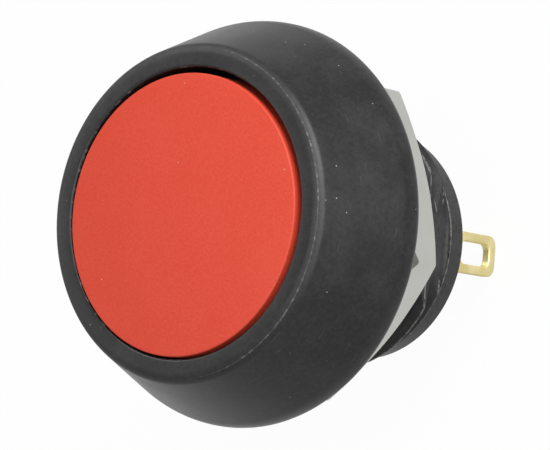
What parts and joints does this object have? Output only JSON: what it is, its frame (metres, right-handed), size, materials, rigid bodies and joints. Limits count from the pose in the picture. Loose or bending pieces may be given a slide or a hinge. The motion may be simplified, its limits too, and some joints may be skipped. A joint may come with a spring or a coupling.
{
  "type": "quiz buzzer push button",
  "caption": "Panel-mount momentary push button with a crowned cap in a round bezel, a threaded bush with a locating flat, hex nut, gasket and solder lugs.",
  "frame": {"origin": "on the button's axis, in the plane of the bezel's rim that sits on the panel's front", "axes": "+Z along the axis out of the panel's front, +X towards the flat on the thread"},
  "size_m": [0.018, 0.018, 0.0193],
  "materials": {
    "housing_plastic": "satin black moulding, scuffed edges",
    "cap_plastic": "fine matt red moulding",
    "seal_rubber": "matt black rubber",
    "nut_nickel": "satin nickel plate",
    "lug_brass": "pale gold flash on brass",
    "plunger_acetal": "natural acetal",
    "spring_steel": "bright spring steel",
    "bridge_copper": "stamped copper",
    "contact_silver": "silver contact rivet",
    "base_phenolic": "brown phenolic moulding",
    "potting_resin": "cured black resin"
  },
  "bodies": {
    "housing": {"housing": "housing_plastic", "panel_gasket": "seal_rubber", "spring_washer": "spring_steel", "return_spring": "spring_steel", "terminal_base": "base_phenolic", "left_terminal": "lug_brass", "right_terminal": "lug_brass", "left_fixed_contact": "contact_silver", "right_fixed_contact": "contact_silver", "potting_seal": "potting_resin"},
    "button": {"button_cap": "cap_plastic", "plunger": "plunger_acetal", "stem_seal": "seal_rubber", "retaining_clip": "spring_steel", "bridge_keeper": "spring_steel", "contact_spring": "spring_steel"},
    "bridge": {"contact_bridge": "bridge_copper", "left_moving_contact": "contact_silver", "right_moving_contact": "contact_silver"},
    "nut": {"hex_nut": "nut_nickel"}
  },
  "joints": [
    {"name": "button_press", "type": "slide", "parent": "housing", "child": "button", "axis": [0, 0, -1], "range_m": [0, 0.0015], "stiffness_N_per_m": 800, "springref_m": -0.002, "deforming": ["return_spring"]},
    {"name": "bridge_close", "type": "slide", "parent": "housing", "child": "bridge", "axis": [0, 0, -1], "range_m": [0, 0.0009], "deforming": ["contact_spring"]},
    {"name": "nut_unscrew", "type": "slide", "parent": "housing", "child": "nut", "axis": [0, 0, -1], "range_m": [0, 0.0067]}
  ],
  "couplings": [
    {"joint": "bridge_close", "follows": "button_press", "ratio": 0.6}
  ]
}
